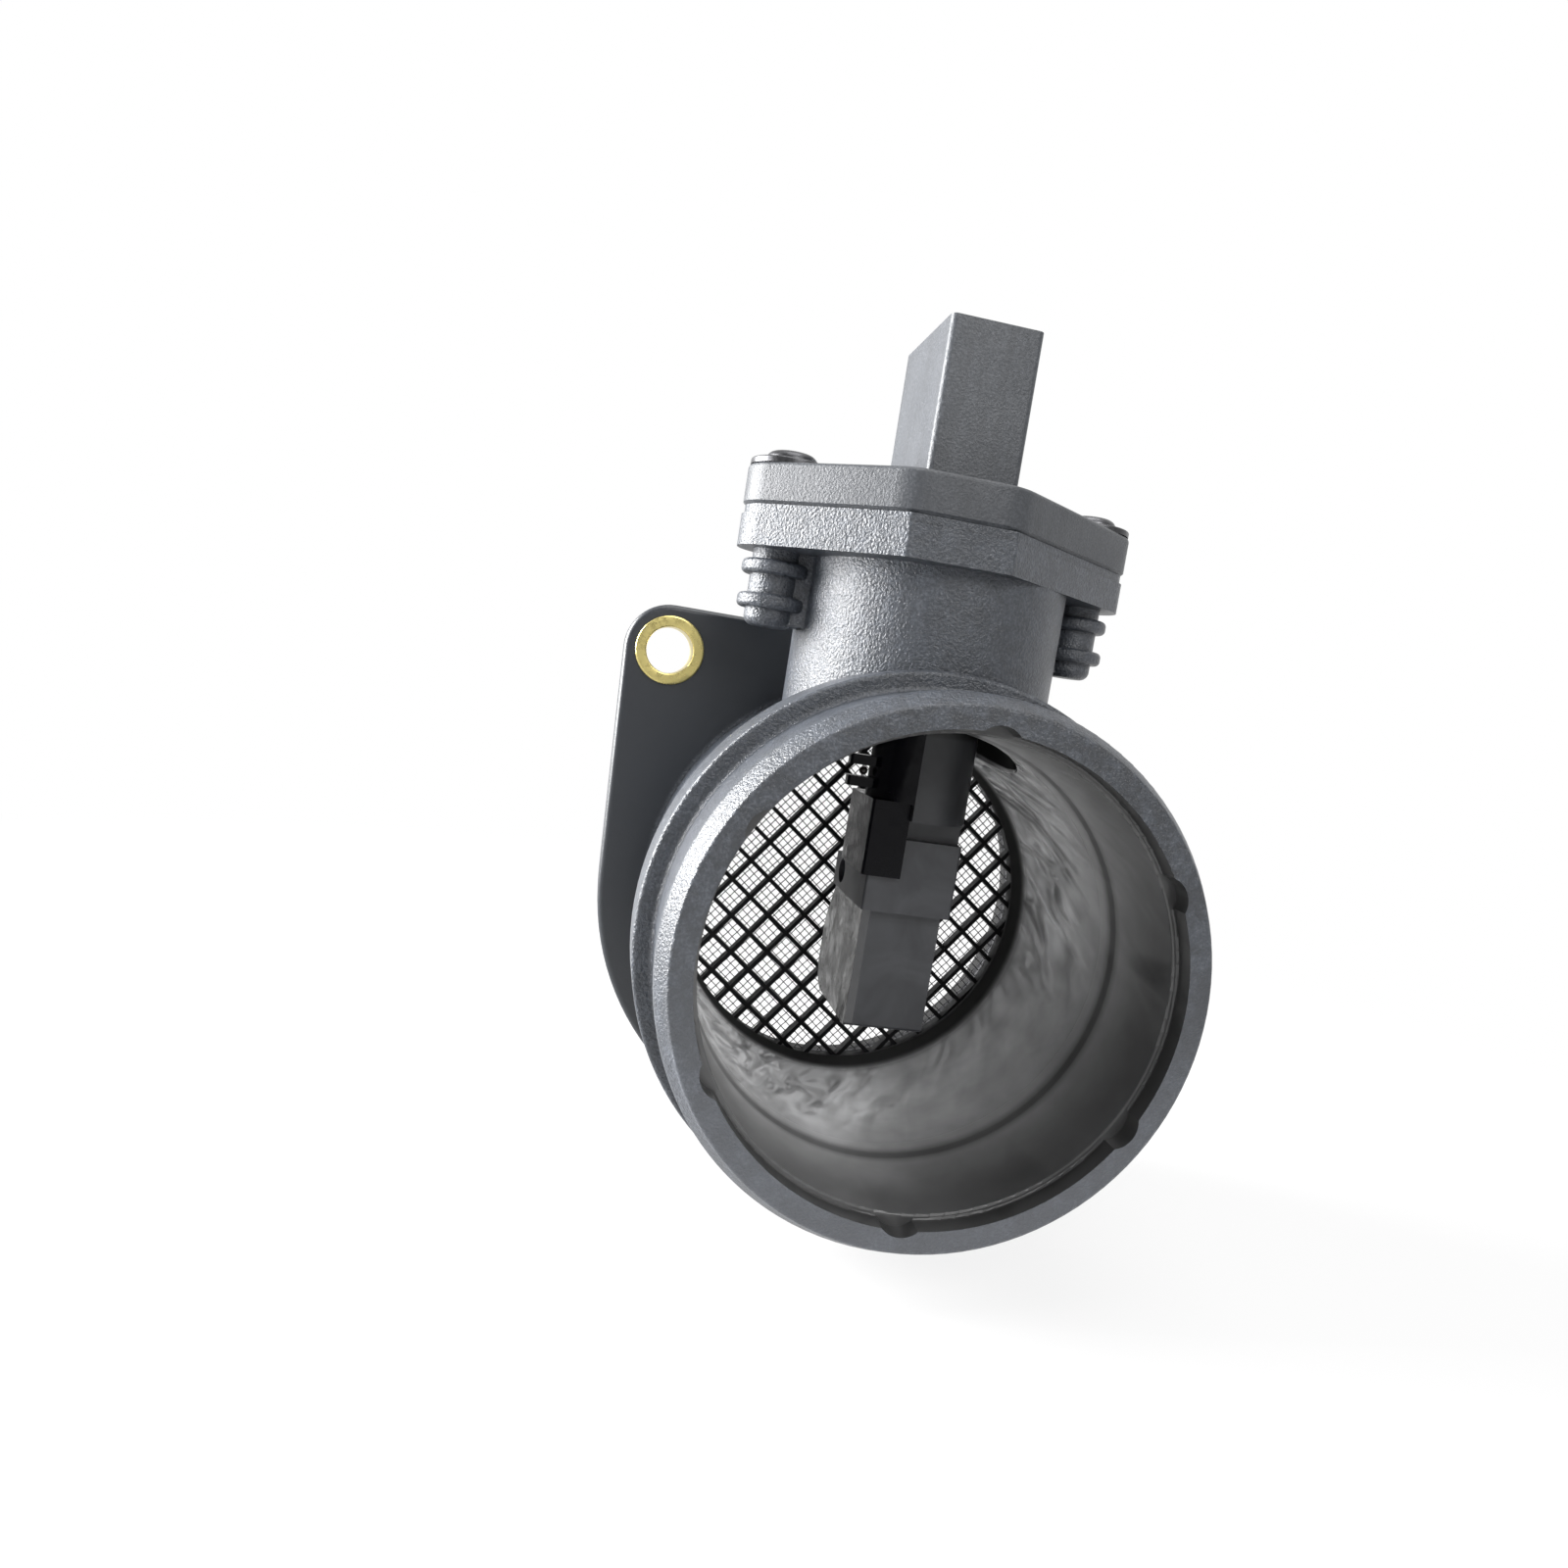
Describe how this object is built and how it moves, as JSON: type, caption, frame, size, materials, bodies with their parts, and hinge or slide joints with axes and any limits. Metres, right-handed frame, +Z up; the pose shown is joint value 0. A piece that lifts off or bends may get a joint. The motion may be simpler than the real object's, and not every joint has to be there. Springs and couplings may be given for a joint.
{
  "type": "mass air flow sensor",
  "caption": "Mass air flow sensor: a round flanged air duct with a plug-in hot-film sensor, a flow grid with a wire screen, and an upright electrical connector.",
  "frame": {"origin": "on the duct's axis, in the flange face that seats on the air filter box", "axes": "+Y along the duct from the hose end to the end that enters the air filter box, against the engine's air flow; +Z up along the neck and the connector"},
  "size_m": [0.0854, 0.07, 0.1263],
  "materials": {
    "housing_plastic": "fine grained dark grey moulding",
    "sensor_plastic": "fine grained dark grey moulding",
    "cover_plastic": "glossy black",
    "grid_plastic": "satin black",
    "screen_steel": "bare drawn wire",
    "spring_steel": "bright spring steel",
    "seal_rubber": "satin black rubber",
    "bush_brass": "turned, slightly dulled",
    "terminal_brass": "tin plated",
    "screw_steel": "dark zinc plate",
    "aluminium_plate": "plain rolled",
    "board_ceramic": "unglazed ceramic",
    "chip_package": "moulded black",
    "chip_glass": "polished",
    "bead_glass": "glazed bead",
    "lead_steel": "tinned wire"
  },
  "bodies": {
    "root": {"housing": "housing_plastic", "sensor_body": "sensor_plastic", "channel_cover": "sensor_plastic", "electronics_cover": "cover_plastic", "base_plate": "aluminium_plate", "circuit_board": "board_ceramic", "signal_processor": "chip_package", "sensor_holder": "chip_package", "hot_film_chip": "chip_glass", "temperature_bead": "bead_glass", "temperature_lead_upper": "lead_steel", "temperature_lead_lower": "lead_steel", "plug_seal": "seal_rubber", "inlet_seal": "seal_rubber", "flow_grid": "grid_plastic", "wire_screen": "screen_steel", "retaining_ring": "spring_steel", "flange_bush_upper": "bush_brass", "flange_bush_lower": "bush_brass", "screw_left": "screw_steel", "screw_right": "screw_steel", "terminal_pin_1": "terminal_brass", "terminal_pin_2": "terminal_brass", "terminal_pin_3": "terminal_brass", "terminal_pin_4": "terminal_brass", "terminal_pin_5": "terminal_brass"}
  },
  "joints": []
}
